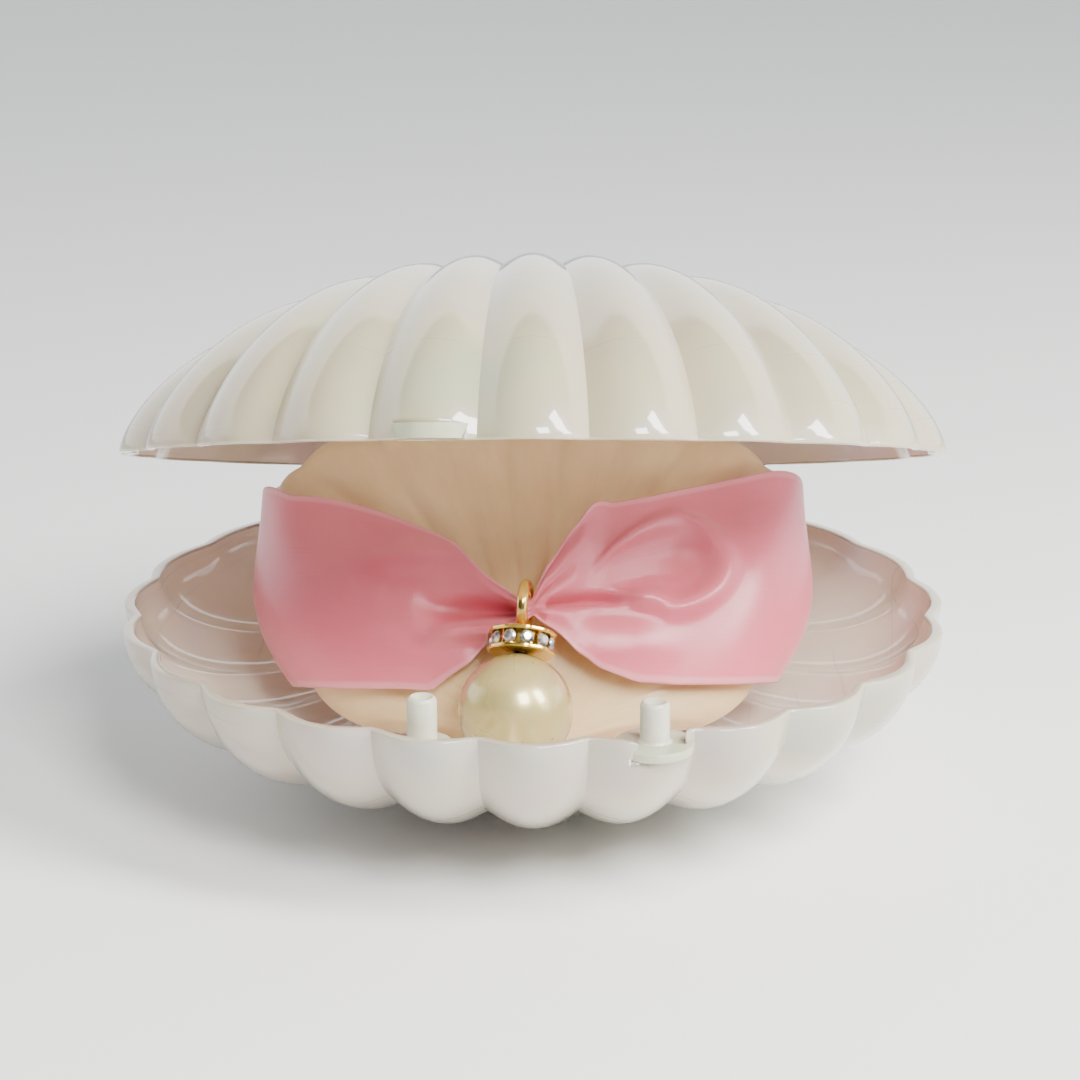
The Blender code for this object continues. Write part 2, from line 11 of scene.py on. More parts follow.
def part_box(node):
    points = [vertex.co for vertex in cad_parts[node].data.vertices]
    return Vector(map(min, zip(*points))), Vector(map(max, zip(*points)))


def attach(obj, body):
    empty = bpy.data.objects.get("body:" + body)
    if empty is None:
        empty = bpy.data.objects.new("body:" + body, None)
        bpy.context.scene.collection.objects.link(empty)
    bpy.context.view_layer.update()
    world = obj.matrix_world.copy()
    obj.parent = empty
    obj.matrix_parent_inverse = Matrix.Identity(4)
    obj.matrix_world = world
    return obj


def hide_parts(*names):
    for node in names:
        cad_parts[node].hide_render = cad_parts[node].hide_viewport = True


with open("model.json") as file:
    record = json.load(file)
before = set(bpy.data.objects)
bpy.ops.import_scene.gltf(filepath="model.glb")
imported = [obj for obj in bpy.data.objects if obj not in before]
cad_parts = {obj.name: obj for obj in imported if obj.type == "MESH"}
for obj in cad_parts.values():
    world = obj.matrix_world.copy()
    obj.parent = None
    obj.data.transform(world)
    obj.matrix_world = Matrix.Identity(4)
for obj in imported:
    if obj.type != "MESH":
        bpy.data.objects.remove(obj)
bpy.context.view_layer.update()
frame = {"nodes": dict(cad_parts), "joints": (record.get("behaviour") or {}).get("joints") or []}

MM = 0.001
JOINTS = {joint["name"]: joint for joint in frame["joints"]}
rng = np.random.default_rng(7)

# The design's own dimensions
RIM_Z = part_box("lower_valve")[1].z
VALVE_R, WALL = 43.0 * MM, 1.2 * MM
LOWER_DEPTH, UPPER_DEPTH = 17.8 * MM, 20.4 * MM
LID_GAP = 0.4 * MM
OPEN_ANGLE = radians(17.4)
HINGE = Vector(JOINTS["lid_hinge"]["pos_m"])
INSERT_BEAK = Vector((0.0, -10.0 * MM, RIM_Z - 15.0 * MM))
INSERT_LEAN = radians(41.0)
INSERT_WALL = 1.4 * MM
RING = Vector(JOINTS["pendant_swing"]["pos_m"])
DOWN = Vector(JOINTS["pearl_spin"]["axis"])
PEARL_R = 6.0 * MM
RONDELLE_R = 3.6 * MM

LOWER = Matrix.Translation((0, 0, RIM_Z))
LID = Matrix.Translation(HINGE) @ Matrix.Rotation(-OPEN_ANGLE, 4, "X")
LID_RIM = LID @ Matrix.Translation((0, -HINGE.y, LID_GAP / 2))
INSERT = Matrix.Translation(INSERT_BEAK) @ Matrix.Rotation(INSERT_LEAN, 4, "X")
PENDANT = Matrix.Translation(RING) @ (-DOWN).to_track_quat("Z", "Y").to_matrix().to_4x4()


# Shader helpers

class Look:
    """A Principled material and short ways to add the nodes in front of it."""

    def __init__(self, name, colour, roughness, metallic=0.0, **values):
        self.material = bpy.data.materials.new(name)
        self.material.use_nodes = True
        self.nodes = self.material.node_tree.nodes
        self.links = self.material.node_tree.links
        self.shader = self.nodes["Principled BSDF"]
        self.set("Base Color", (*colour, 1.0))
        self.set("Roughness", roughness)
        self.set("Metallic", metallic)
        for key, value in values.items():
            self.set(key.replace("_", " "), value)

    def set(self, key, value):
        self.shader.inputs[key].default_value = value

    def link(self, output, key):
        self.links.new(output, self.shader.inputs[key])

    def node(self, kind, inputs=None, **settings):
        made = self.nodes.new(kind)
        for key, value in settings.items():
            setattr(made, key, value)
        for key, value in (inputs or {}).items():
            if isinstance(value, bpy.types.NodeSocket):
                self.links.new(value, made.inputs[key])
            else:
                made.inputs[key].default_value = value
        return made

    def object_points(self):
        return self.node("ShaderNodeTexCoord").outputs["Object"]

    def noise(self, scale, detail=4.0, rough=0.5, vector=None, distortion=0.0):
        vector = vector or self.object_points()
        return self.node("ShaderNodeTexNoise", {"Vector": vector, "Scale": scale, "Detail": detail,
                                                "Roughness": rough, "Distortion": distortion}
                         ).outputs["Fac"]

    def stretched(self, scale, vector=None):
        """Object coordinates multiplied by three scales."""
        vector = vector or self.object_points()
        return self.node("ShaderNodeMapping", {"Vector": vector, "Scale": scale}).outputs[0]

    def ramp(self, fac, stops):
        made = self.node("ShaderNodeValToRGB", {"Fac": fac})
        points = made.color_ramp.elements
        while len(points) < len(stops):
            points.new(0.5)
        for point, (place, colour) in zip(points, stops):
            point.position = place
            point.color = (*colour, 1.0)
        return made.outputs["Color"]

    def mix(self, fac, first, second, blend="MIX"):
        made = self.node("ShaderNodeMix", {0: fac}, data_type="RGBA", blend_type=blend)
        for index, value in ((6, first), (7, second)):
            if isinstance(value, bpy.types.NodeSocket):
                self.links.new(value, made.inputs[index])
            else:
                made.inputs[index].default_value = (*value, 1.0)
        return made.outputs[2]

    def span(self, value, from_low, from_high, to_low, to_high):
        made = self.node("ShaderNodeMapRange", {"Value": value, "From Min": from_low,
                                                "From Max": from_high, "To Min": to_low,
                                                "To Max": to_high})
        return made.outputs["Result"]

    def maths(self, operation, first, second=0.0):
        return self.node("ShaderNodeMath", {0: first, 1: second}, operation=operation).outputs[0]

    def bump(self, height, distance, strength=1.0, normal=None):
        inputs = {"Height": height, "Distance": distance, "Strength": strength}
        if normal is not None:
            inputs["Normal"] = normal
        return self.node("ShaderNodeBump", inputs).outputs["Normal"]


def scratches(look, scale, keep, seed):
    """Fine hairline marks: narrow level lines of a stretched noise, kept in patches."""
    turned_points = look.node("ShaderNodeMapping", {"Vector": look.object_points(),
                                                    "Rotation": (0.3 * seed, 0.7 * seed, seed),
                                                    "Scale": (1.0, 0.16, 0.5)}).outputs[0]
    field = look.noise(scale, 2.0, 0.4, turned_points)
    line = look.maths("ABSOLUTE", look.maths("SUBTRACT", field, 0.5))
    thin = look.span(line, 0.0, 0.004, 1.0, 0.0)
    patch = look.span(look.noise(scale * 0.8, 2.0), keep, keep + 0.05, 0.0, 1.0)
    return look.maths("MULTIPLY", thin, patch)


def shell_look(name, warm, shade=(1.0, 1.0, 1.0)):
    """Glossy pearlescent plastic, with faint growth bands along the flutes and a few hairlines."""
    look = Look(name, (0.74, 0.72, 0.66), 0.3, Coat_Weight=1.0, Coat_Roughness=0.035, Coat_IOR=1.6,
                Subsurface_Weight=0.15, Subsurface_Scale=0.002, Specular_IOR_Level=0.5)
    look.set("Subsurface Radius", (1.0, 0.8, 0.6))
    flow = look.node("ShaderNodeUVMap", uv_map="flow").outputs["UV"]
    base = look.noise(38.0, 3.0, 0.55)
    if warm:
        stops = [(0.3, (0.80, 0.76, 0.80)), (0.42, (0.83, 0.73, 0.65)), (0.52, (0.84, 0.77, 0.62)),
                 (0.62, (0.83, 0.71, 0.64)), (0.72, (0.80, 0.79, 0.81))]
    else:
        stops = [(0.3, (0.50, 0.48, 0.43)), (0.42, (0.53, 0.50, 0.38)), (0.5, (0.52, 0.46, 0.38)),
                 (0.58, (0.54, 0.50, 0.37)), (0.72, (0.47, 0.50, 0.39))]
    tint = look.ramp(base, stops)
    streak_points = look.node("ShaderNodeMapping", {"Vector": flow, "Scale": (3.0, 0.25, 1.0)})
    streaks = look.noise(22.0, 4.0, 0.6, streak_points.outputs[0])
    tint = look.mix(0.5, tint, look.ramp(streaks, [(0.3, (0.97, 0.96, 0.96)), (0.7, (1, 1, 1))]),
                    "MULTIPLY")
    tint = look.mix(1.0, tint, shade, "MULTIPLY")
    marks = scratches(look, 60.0, 0.55, 1.0)
    tint = look.mix(look.maths("MULTIPLY", marks, 0.35), tint, (0.45, 0.42, 0.38))
    look.link(tint, "Base Color")
    band_points = look.node("ShaderNodeMapping", {"Vector": flow, "Scale": (0.15, 9.0, 1.0)})
    bands = look.noise(5.0, 3.0, 0.6, band_points.outputs[0])
    fine = look.noise(900.0, 2.0, 0.5)
    rough = look.span(bands, 0.3, 0.7, 0.27, 0.31)
    look.link(look.maths("ADD", rough, look.maths("MULTIPLY", marks, 0.2)), "Roughness")
    normal = look.bump(bands, 0.02 * MM, 0.2)
    normal = look.bump(fine, 0.01 * MM, 0.35, normal)
    normal = look.bump(marks, 0.02 * MM, -0.6, normal)
    look.link(normal, "Normal")
    ripple = look.bump(look.noise(140.0, 2.0), 0.06 * MM, 0.25)
    look.link(look.bump(marks, 0.03 * MM, -0.5, ripple), "Coat Normal")
    look.set("Thin Film Thickness", 330.0)
    look.set("Thin Film IOR", 1.38)
    return look.material


def insert_look():
    """Soft cream plastic that lets some light through."""
    look = Look("insert_cream", (0.80, 0.60, 0.42), 0.40, Coat_Weight=0.25, Coat_Roughness=0.2,
                Subsurface_Weight=0.3, Subsurface_Scale=0.003)
    look.set("Subsurface Radius", (1.0, 0.62, 0.38))
    flow = look.node("ShaderNodeUVMap", uv_map="flow").outputs["UV"]
    cloud = look.noise(60.0, 4.0, 0.55)
    streak_points = look.node("ShaderNodeMapping", {"Vector": flow, "Scale": (4.0, 0.5, 1.0)})
    streaks = look.noise(14.0, 5.0, 0.6, streak_points.outputs[0])
    tint = look.ramp(cloud, [(0.3, (0.84, 0.60, 0.31)), (0.5, (0.88, 0.65, 0.36)),
                             (0.7, (0.90, 0.68, 0.41))])
    tint = look.mix(0.6, tint, look.ramp(streaks, [(0.35, (0.88, 0.85, 0.83)), (0.7, (1, 1, 1))]),
                    "MULTIPLY")
    look.link(tint, "Base Color")
    look.link(look.span(streaks, 0.3, 0.7, 0.3, 0.45), "Roughness")
    normal = look.bump(streaks, 0.10 * MM, 0.5)
    look.link(look.bump(look.noise(700.0, 2.0), 0.01 * MM, 0.4, normal), "Normal")
    return look.material


def satin_look():
    """Satin: fine ribs across the band, a close weft, a soft sheen along it, and painted shade in the
    hollows of its folds.
    """
    look = Look("satin_pink", (0.80, 0.20, 0.28), 0.29, Sheen_Weight=0.3, Sheen_Roughness=0.4,
                Anisotropic=0.5, Specular_IOR_Level=0.8)
    flow = look.node("ShaderNodeUVMap", uv_map="flow").outputs["UV"]
    along, across, _ = look.node("ShaderNodeSeparateXYZ", {"Vector": flow}).outputs
    warp = look.maths("SINE", look.maths("MULTIPLY", across, tau * 110))
    weft = look.maths("SINE", look.maths("MULTIPLY", along, tau * 420))
    slub_points = look.node("ShaderNodeMapping", {"Vector": flow, "Scale": (6.0, 160.0, 1.0)})
    slub = look.noise(3.0, 3.0, 0.6, slub_points.outputs[0])
    cloud = look.noise(70.0, 3.0)
    tint = look.ramp(cloud, [(0.3, (0.78, 0.155, 0.225)), (0.7, (0.84, 0.20, 0.28))])
    tint = look.mix(0.55, tint, look.ramp(slub, [(0.3, (0.84, 0.80, 0.82)), (0.7, (1, 1, 1))]),
                    "MULTIPLY")
    edge = look.span(look.maths("ABSOLUTE", look.maths("SUBTRACT", across, 0.5)), 0.462, 0.475,
                     0.0, 1.0)
    tint = look.mix(look.maths("MULTIPLY", edge, 0.4), tint, (0.90, 0.46, 0.50))
    # Painted shade: the satin is darkened to a deep red in the hollows of its folds, by the depth of
    # the fold.
    fold = look.node("ShaderNodeAttribute", attribute_name="fold").outputs["Fac"]
    crease_shade = look.span(fold, -0.5, -1.6, 0.0, 0.75)
    tint = look.mix(crease_shade, tint, (0.66, 0.07, 0.11))
    look.link(tint, "Base Color")
    look.set("Sheen Tint", (1.0, 0.82, 0.82, 1.0))
    height = look.maths("ADD", look.maths("MULTIPLY", warp, 0.5), look.maths("MULTIPLY", weft, 0.35))
    height = look.maths("ADD", height, look.maths("MULTIPLY", slub, 0.8))
    look.link(look.bump(height, 0.02 * MM, 0.35), "Normal")
    tangent = look.node("ShaderNodeTangent", direction_type="UV_MAP", uv_map="flow")
    look.link(tangent.outputs[0], "Tangent")
    return look.material


def gold_look():
    look = Look("gold_plate", (0.90, 0.66, 0.26), 0.16, 1.0)
    worn = look.noise(420.0, 4.0, 0.6)
    look.link(look.ramp(worn, [(0.3, (0.80, 0.54, 0.10)), (0.7, (0.95, 0.72, 0.24))]), "Base Color")
    look.link(look.span(worn, 0.3, 0.7, 0.10, 0.24), "Roughness")
    look.link(look.bump(look.noise(1500.0, 2.0), 0.01 * MM, 0.3), "Normal")
    return look.material


def stone_look():
    look = Look("glass_stone", (0.80, 0.82, 0.84), 0.03, 0.45, IOR=1.7, Coat_Weight=1.0,
                Coat_Roughness=0.01)
    # Painted reflection: dark and bright patches in the base colour stand in for what the facets
    # reflect.
    inner = look.node("ShaderNodeTexVoronoi", {"Vector": look.object_points(), "Scale": 1500.0},
                      feature="F1").outputs["Distance"]
    look.link(look.ramp(inner, [(0.1, (0.05, 0.05, 0.06)), (0.4, (0.28, 0.28, 0.30)),
                                (0.8, (0.92, 0.91, 0.88))]), "Base Color")
    return look.material


def pearl_look():
    """Imitation pearl: warm beige nacre under a clear gloss."""
    look = Look("pearl_nacre", (0.70, 0.62, 0.40), 0.26, 0.35, Coat_Weight=1.0, Coat_Roughness=0.09,
                Subsurface_Weight=0.15, Subsurface_Scale=0.002)
    cloud = look.noise(150.0, 4.0, 0.6, distortion=0.4)
    tint = look.ramp(cloud, [(0.3, (0.54, 0.45, 0.17)), (0.5, (0.62, 0.53, 0.22)),
                             (0.7, (0.62, 0.52, 0.26))])
    look.link(tint, "Base Color")
    look.link(look.span(cloud, 0.3, 0.7, 0.24, 0.32), "Roughness")
    look.link(look.bump(look.noise(300.0, 2.0), 0.01 * MM, 0.15), "Coat Normal")
    look.set("Thin Film Thickness", 380.0)
    look.set("Thin Film IOR", 1.45)
    return look.material


def clear_look(name, colour, transmission):
    look = Look(name, colour, 0.14, Transmission_Weight=transmission, IOR=1.46, Coat_Weight=0.3,
                Coat_Roughness=0.05)
    cloud = look.noise(300.0, 3.0, 0.6)
    low = tuple(0.88 * channel for channel in colour)
    look.link(look.ramp(cloud, [(0.35, low), (0.65, colour)]), "Base Color")
    look.link(look.bump(look.noise(700.0, 3.0), 0.03 * MM, 0.4), "Normal")
    look.link(look.span(cloud, 0.3, 0.7, 0.10, 0.26), "Roughness")
    return look.material


def steel_look():
    look = Look("brushed_steel", (0.58, 0.58, 0.6), 0.32, 1.0)
    brushed = look.noise(160.0, 4.0, 0.6, look.stretched((0.2, 6.0, 6.0)))
    look.link(look.span(brushed, 0.3, 0.7, 0.24, 0.42), "Roughness")
    look.link(look.bump(brushed, 0.02 * MM, 0.4), "Normal")
    return look.material


def rubber_look():
    look = Look("rubber_black", (0.045, 0.045, 0.048), 0.7)
    grain = look.noise(1200.0, 3.0, 0.6)
    look.link(look.span(grain, 0.3, 0.7, 0.6, 0.8), "Roughness")
    look.link(look.bump(grain, 0.02 * MM, 0.5), "Normal")
    return look.material


def air_stone_look():
    look = Look("air_stone_grit", (0.16, 0.27, 0.38), 0.92)
    grit = look.node("ShaderNodeTexVoronoi", {"Vector": look.object_points(), "Scale": 2200.0},
                     feature="F1").outputs["Distance"]
    look.link(look.ramp(grit, [(0.1, (0.28, 0.42, 0.54)), (0.7, (0.08, 0.15, 0.23))]), "Base Color")
    look.link(look.bump(grit, 0.18 * MM, -0.9), "Normal")
    return look.material


def floor_look():
    look = Look("pale_floor", (0.97, 0.97, 0.97), 0.65)
    look.link(look.bump(look.noise(90.0, 3.0), 0.02 * MM, 0.1), "Normal")
    return look.material


LOWER_OUT = shell_look("shell_ivory", False, (0.90, 0.90, 0.93))
LID_OUT = shell_look("shell_lid", False, (0.92, 0.91, 0.80))
LOWER_IN = shell_look("shell_blush", True)
CREAM = insert_look()
SATIN = satin_look()
GOLD = gold_look()
STONE = stone_look()
PEARL = pearl_look()
CLEAR = clear_look("disc_clear", (0.66, 0.69, 0.50), 0.25)
PEG = clear_look("peg_milky", (0.76, 0.75, 0.60), 0.15)
STEEL = steel_look()
RUBBER = rubber_look()
GRIT = air_stone_look()


# Mesh helpers

def add_object(name, verts, faces, looks, matrix=None, uvs=None, slots=None, flat=False):
    """A mesh object from points in a local frame, baked into the row frame."""
    points = np.asarray(verts, float)
    if matrix is not None:
        turn = np.array(matrix)
        points = points @ turn[:3, :3].T + turn[:3, 3]
    mesh = bpy.data.meshes.new(name)
    mesh.from_pydata(points.tolist(), [], [tuple(face) for face in faces])
    for look in looks:
        mesh.materials.append(look)
    if slots is not None:
        mesh.polygons.foreach_set("material_index", np.asarray(slots, np.int32))
    if uvs is not None:
        layer = mesh.uv_layers.new(name="flow")
        corner = np.zeros(len(mesh.loops), np.int32)
        mesh.loops.foreach_get("vertex_index", corner)
        layer.data.foreach_set("uv", np.asarray(uvs, float)[corner].ravel())
    bm = bmesh.new()
    bm.from_mesh(mesh)
    bmesh.ops.recalc_face_normals(bm, faces=bm.faces)
    bm.to_mesh(mesh)
    bm.free()
    if not flat:
        mesh.shade_smooth()
        mesh.set_sharp_from_angle(angle=radians(40))
    made = bpy.data.objects.new(name, mesh)
    bpy.context.scene.collection.objects.link(made)
    return made


def lathe(name, profile, look, matrix, steps=64, closed=False, wave=None):
    """Turn a profile of (radius, height) about Z. The wave scales the radius at each angle."""
    verts, faces, rings = [], [], []
    for radius, height in profile:
        if radius < 1e-7:
            rings.append([len(verts)])
            verts.append((0.0, 0.0, height))
            continue
        rings.append(list(range(len(verts), len(verts) + steps)))
        for step in range(steps):
            angle = tau * step / steps
            scale = wave(angle, radius) if wave else 1.0
            verts.append((radius * scale * cos(angle), radius * scale * sin(angle), height))
    pairs = list(zip(rings, rings[1:])) + ([(rings[-1], rings[0])] if closed else [])
    for first, second in pairs:
        for step in range(steps):
            after = (step + 1) % steps
            corners = [first[step % len(first)], first[after % len(first)],
                       second[after % len(second)], second[step % len(second)]]
            face = list(dict.fromkeys(corners))
            if len(face) > 2:
                faces.append(face)
    return add_object(name, verts, faces, [look], matrix)


def rounded(profile, radius, steps=4):
    """Round every inner corner of an open profile."""
    points = [Vector(point) for point in profile]
    out = [tuple(points[0])]
    for before, corner, after in zip(points, points[1:], points[2:]):
        back, ahead = before - corner, after - corner
        size = min(radius, back.length * 0.45, ahead.length * 0.45)
        start = corner + back.normalized() * size
        end = corner + ahead.normalized() * size
        for step in range(steps + 1):
            t = step / steps
            mixed = start * (1 - t) ** 2 + corner * 2 * t * (1 - t) + end * t * t
            out.append(tuple(mixed))
    out.append(tuple(points[-1]))
    return out


def apply_boolean(target, cutter, operation):
    modifier = target.modifiers.new(cutter.name, "BOOLEAN")
    modifier.operation = operation
    modifier.solver = "EXACT"
    modifier.object = cutter
    bpy.context.view_layer.update()
    mesh = bpy.data.meshes.new_from_object(target.evaluated_get(
        bpy.context.evaluated_depsgraph_get()))
    target.modifiers.clear()
    target.data = mesh
    bpy.data.objects.remove(cutter, do_unlink=True)


def rod(name, radius, start, end, look, steps=48):
    """A plain cylinder between two points, used as a cutter or a boss."""
    start, end = Vector(start), Vector(end)
    turn = (end - start).to_track_quat("Z", "Y").to_matrix().to_4x4()
    length = (end - start).length
    profile = [(0, length), (radius, length), (radius, 0), (0, 0)]
    return lathe(name, profile, look, Matrix.Translation(start) @ turn, steps)


# The fluted shells

def fade(value, start, end):
    t = np.clip((value - start) / (end - start), 0, 1)
    return t * t * (3 - 2 * t)


def fan(half_w, near, far, power, height, profile, flutes, step, spread, bulge, split, rows,
        side=5, far_power=None, plain=0.0, groove=0.05):
    """Points of a domed, fluted fan as [column][row], with side columns that fold to Z 0.

    Its outline is two half ovals, near on the beak's side and far beyond. The flutes are step
    degrees apart, a little more towards the sides by spread, and swell by bulge at the rim. They
    fade out within the distance plain of the beak, and groove is how round the valleys between
    them are.
    """
    far_power = far_power or power
    count = flutes * split
    across = np.linspace(-1, 1, count + 1)
    flute = across * flutes / 2
    angle = np.radians(step * flute * (1 + spread * flute ** 2))
    low, high = np.full_like(angle, 1e-5), np.full_like(angle, 2.2 * (near + half_w))

    def level(x, s):
        away = np.where(s < near, (near - s) / near, (s - near) / far)
        return np.abs(x / half_w) ** power + np.abs(away) ** np.where(s < near, power, far_power)

    for _ in range(48):
        middle = (low + high) / 2
        within = level(middle * np.sin(angle), middle * np.cos(angle)) < 1
        low, high = np.where(within, middle, low), np.where(within, high, middle)
    edge = (low + high) / 2
    along = np.linspace(0, 1, rows + 1)
    distance = edge[:, None] * (1 - np.cos(pi * along))[None, :] / 2
    x, s = distance * np.sin(angle)[:, None], distance * np.cos(angle)[:, None]
    rise = height * np.clip(1 - level(x, s), 0, None) ** profile
    rise[:, -1] = 0
    length = np.where(s < near, near, far)
    power_s = np.where(s < near, power, far_power)
    slope = np.stack([power * np.abs(x / half_w) ** (power - 1) / half_w * np.sign(x),
                      power_s * np.abs((s - near) / length) ** (power_s - 1) / length
                      * np.sign(s - near),
                      (rise / height) ** (1 / profile - 1) / profile / height], axis=-1)
    slope /= np.maximum(np.linalg.norm(slope, axis=-1, keepdims=True), 1e-9)
    to_groove = 1 - np.abs(2 * (flute - np.round(flute)))
    soft = np.sqrt(to_groove ** 2 + groove ** 2)
    lobe = 1 - (1 - np.minimum(soft, 1)) ** 2
    swell = bulge * distance / (near + far) * lobe[:, None]
    if plain:
        swell = swell * fade(distance, plain, 1.8 * plain)
    points = np.stack([x, s, rise], axis=-1) + slope * swell[..., None]
    points[:, -1, 2] = 0
    uv = np.stack(np.broadcast_arrays((flute + flutes / 2)[:, None] / flutes, along[None, :]),
                  axis=-1)
    fold = np.linspace(0, 1, side + 1)[:-1]
    left = points[:1].repeat(side, 0) * np.stack([np.ones(side), np.ones(side), fold], -1)[:, None]
    right = points[-1:].repeat(side, 0) * np.stack([np.ones(side), np.ones(side), fold[::-1]],
                                                   -1)[:, None]
    points = np.concatenate([left, points, right])
    uv = np.concatenate([uv[:1].repeat(side, 0), uv, uv[-1:].repeat(side, 0)])
    return points, uv


def walled(name, outer, inner, looks, matrix, radius):
    """A closed double wall from two fans, with a rounded lip between them."""
    (outer, outer_uv), (inner, inner_uv) = outer, inner
    columns, rows = outer.shape[0], outer.shape[1] - 1
    verts, uvs, faces, slots = [], [], [], []
    loop = [(0, j) for j in range(rows, 0, -1)] + [(0, 0)] + [(columns - 1, j)
                                                              for j in range(1, rows + 1)]
    loop += [(i, rows) for i in range(columns - 2, 0, -1)]

    def sheet_points(points, uv, slot):
        beak = len(verts)
        verts.append(points[0, 0])
        uvs.append(uv[0, 0])
        index = np.zeros((columns, rows + 1), int)
        index[:, 0] = beak
        for i in range(columns):
            for j in range(1, rows + 1):
                index[i, j] = len(verts)
                verts.append(points[i, j])
                uvs.append(uv[i, j])
        for i in range(columns - 1):
            faces.append((beak, index[i, 1], index[i + 1, 1]))
            slots.append(slot)
            for j in range(1, rows):
                faces.append((index[i, j], index[i, j + 1], index[i + 1, j + 1], index[i + 1, j]))
                slots.append(slot)
        return index

    first = sheet_points(outer, outer_uv, 0)
    second = sheet_points(inner, inner_uv, 1)
    outer_edge = np.array([outer[i, j] for i, j in loop])
    inner_edge = np.array([inner[i, j] for i, j in loop])
    inward = inner_edge - outer_edge
    inward /= np.linalg.norm(inward, axis=1, keepdims=True)
    up = np.array((0, 0, 1.0))
    for edge, sheet in ((outer_edge, first), (inner_edge, second)):
        for (i, j), point in zip(loop, edge):
            verts[sheet[i, j]] = point + up * radius
    rings = [[first[i, j] for i, j in loop]]
    for edge, sign, turns in ((outer_edge, 1, (30, 60, 90)), (inner_edge, -1, (90, 60, 30))):
        for turn in turns:
            ring = []
            for point, direction, (i, j) in zip(edge, inward, loop):
                ring.append(len(verts))
                verts.append(point + direction * sign * radius * (1 - cos(radians(turn)))
                             + up * radius * (1 - sin(radians(turn))))
                uvs.append(outer_uv[i, j])
            rings.append(ring)
    rings.append([second[i, j] for i, j in loop])
    for ring, after in zip(rings, rings[1:]):
        for k in range(len(loop)):
            n = (k + 1) % len(loop)
            faces.append((ring[k], ring[n], after[n], after[k]))
            slots.append(0)
    return add_object(name, verts, faces, looks, matrix, uvs, slots)


def valve(name, depth, profile, side, matrix, looks):
    """One fluted valve, a dome for side 1 and a bowl for side -1."""
    def half(grow):
        radius = VALVE_R + grow
        points, uv = fan(radius, radius, radius, 2.0, depth + grow, profile, flutes=19, step=7.0,
                         spread=0.0022, bulge=2.1 * MM, split=12, rows=44,
                         groove=0.05 if grow == 0 else 0.16)
        points = points * np.array((1, -1, 1)) + np.array((0, radius, 0))
        return points, uv
    flip = matrix @ Matrix.Diagonal((1, 1, side, 1))
    return walled(name, half(0), half(-WALL), looks, flip, 0.28 * MM)


FOOT_R, FOOT_OVERLAP = 13.0 * MM, 0.4 * MM

lower = valve("bowl_shell", LOWER_DEPTH, 0.5, -1, LOWER, [LOWER_OUT, LOWER_IN])
foot_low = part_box("base_pad")[1].z + 0.3 * MM
apply_boolean(lower, rod("foot_ring", FOOT_R, (0, 0, foot_low),
                         (0, 0, RIM_Z - LOWER_DEPTH + FOOT_OVERLAP), LOWER_OUT, 96), "UNION")
upper = valve("lid_shell", UPPER_DEPTH, 0.7, 1, LID_RIM, [LID_OUT, LOWER_IN])


SOCKET_T = 1.45 * MM
SOCKET_R = {"left": 4.2 * MM, "right": 3.5 * MM}
# How far above the rim's plane each bowl notch reaches, and how far it is shifted to the left
NOTCH_TOP = {"left": -1.6 * MM, "right": 4.0 * MM}
NOTCH_SHIFT = {"left": 0.0, "right": 0.7 * MM}
PEG_BORE_R, PEG_ROOM = 1.62 * MM, 2.8 * MM
BELOW_RIM = -3 * MM


def disc_axis(node):
    low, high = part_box(node)
    return (low + high) / 2, (high.x - low.x) / 2


def cut_bowl_notch(side):
    centre, radius = disc_axis(f"peg_{side}")
    shift = NOTCH_SHIFT[side]
    cutter = rod(f"notch_{side}", radius + 0.04 * MM - shift * 0.3,
                 (centre.x - shift, centre.y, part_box(f"peg_{side}")[0].z - 0.02 * MM),
                 (centre.x - shift, centre.y, RIM_Z + NOTCH_TOP[side]), LOWER_OUT, 96)
    apply_boolean(lower, cutter, "DIFFERENCE")


def bored_disc(side):
    """The lid's disc in its notch, bored where the bowl's peg enters when the lid is closed."""
    centre, radius = disc_axis(f"socket_{side}")
    radius = min(radius, SOCKET_R[side])
    seat = LID_RIM.inverted() @ centre
    start = LID_RIM @ Vector((seat.x, seat.y, BELOW_RIM))
    end = LID_RIM @ Vector((seat.x, seat.y, seat.z + SOCKET_T / 2 + 0.01 * MM))
    open_front = Vector((0, -0.3 * MM, 0))
    cutter = rod(f"lid_notch_{side}", radius - 0.28 * MM, start + open_front, end + open_front,
                 LOWER_OUT, 72)
    apply_boolean(upper, cutter, "DIFFERENCE")
    half_t = SOCKET_T / 2
    plate = rounded([(0, half_t), (radius, half_t), (radius, -half_t), (0, -half_t)], 0.08 * MM)
    socket = lathe(f"bored_disc_{side}", plate, CLEAR, LID_RIM @ Matrix.Translation(seat), 72)
    peg = disc_axis(f"peg_{side}")[0]
    bore_low = LID_RIM @ Vector((peg.x, peg.y, BELOW_RIM))
    bore_high = LID_RIM @ Vector((peg.x, peg.y, PEG_ROOM))
    for target, label in ((upper, "relief"), (socket, "bore")):
        cutter = rod(f"{label}_{side}", PEG_BORE_R, bore_low, bore_high, LOWER_OUT, 40)
        apply_boolean(target, cutter, "DIFFERENCE")
    return socket


for side in ("left", "right"):
    cut_bowl_notch(side)
    socket = bored_disc(side)
    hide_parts(f"socket_{side}")
    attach(socket, "lid")

# The hole for the air inlet goes right through the back wall
INLET_HOLE_R, INLET_FROM_Y, INLET_TO_Y = 2.2 * MM, 23 * MM, 48 * MM
inlet_low, inlet_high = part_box("air_inlet_barb")
inlet_z = (inlet_low.z + inlet_high.z) / 2
apply_boolean(lower, rod("inlet_hole", INLET_HOLE_R, (0, INLET_FROM_Y, inlet_z),
                         (0, INLET_TO_Y, inlet_z), LOWER_OUT), "DIFFERENCE")
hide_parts("lower_valve")
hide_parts("upper_valve")
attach(lower, "bowl")
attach(upper, "lid")

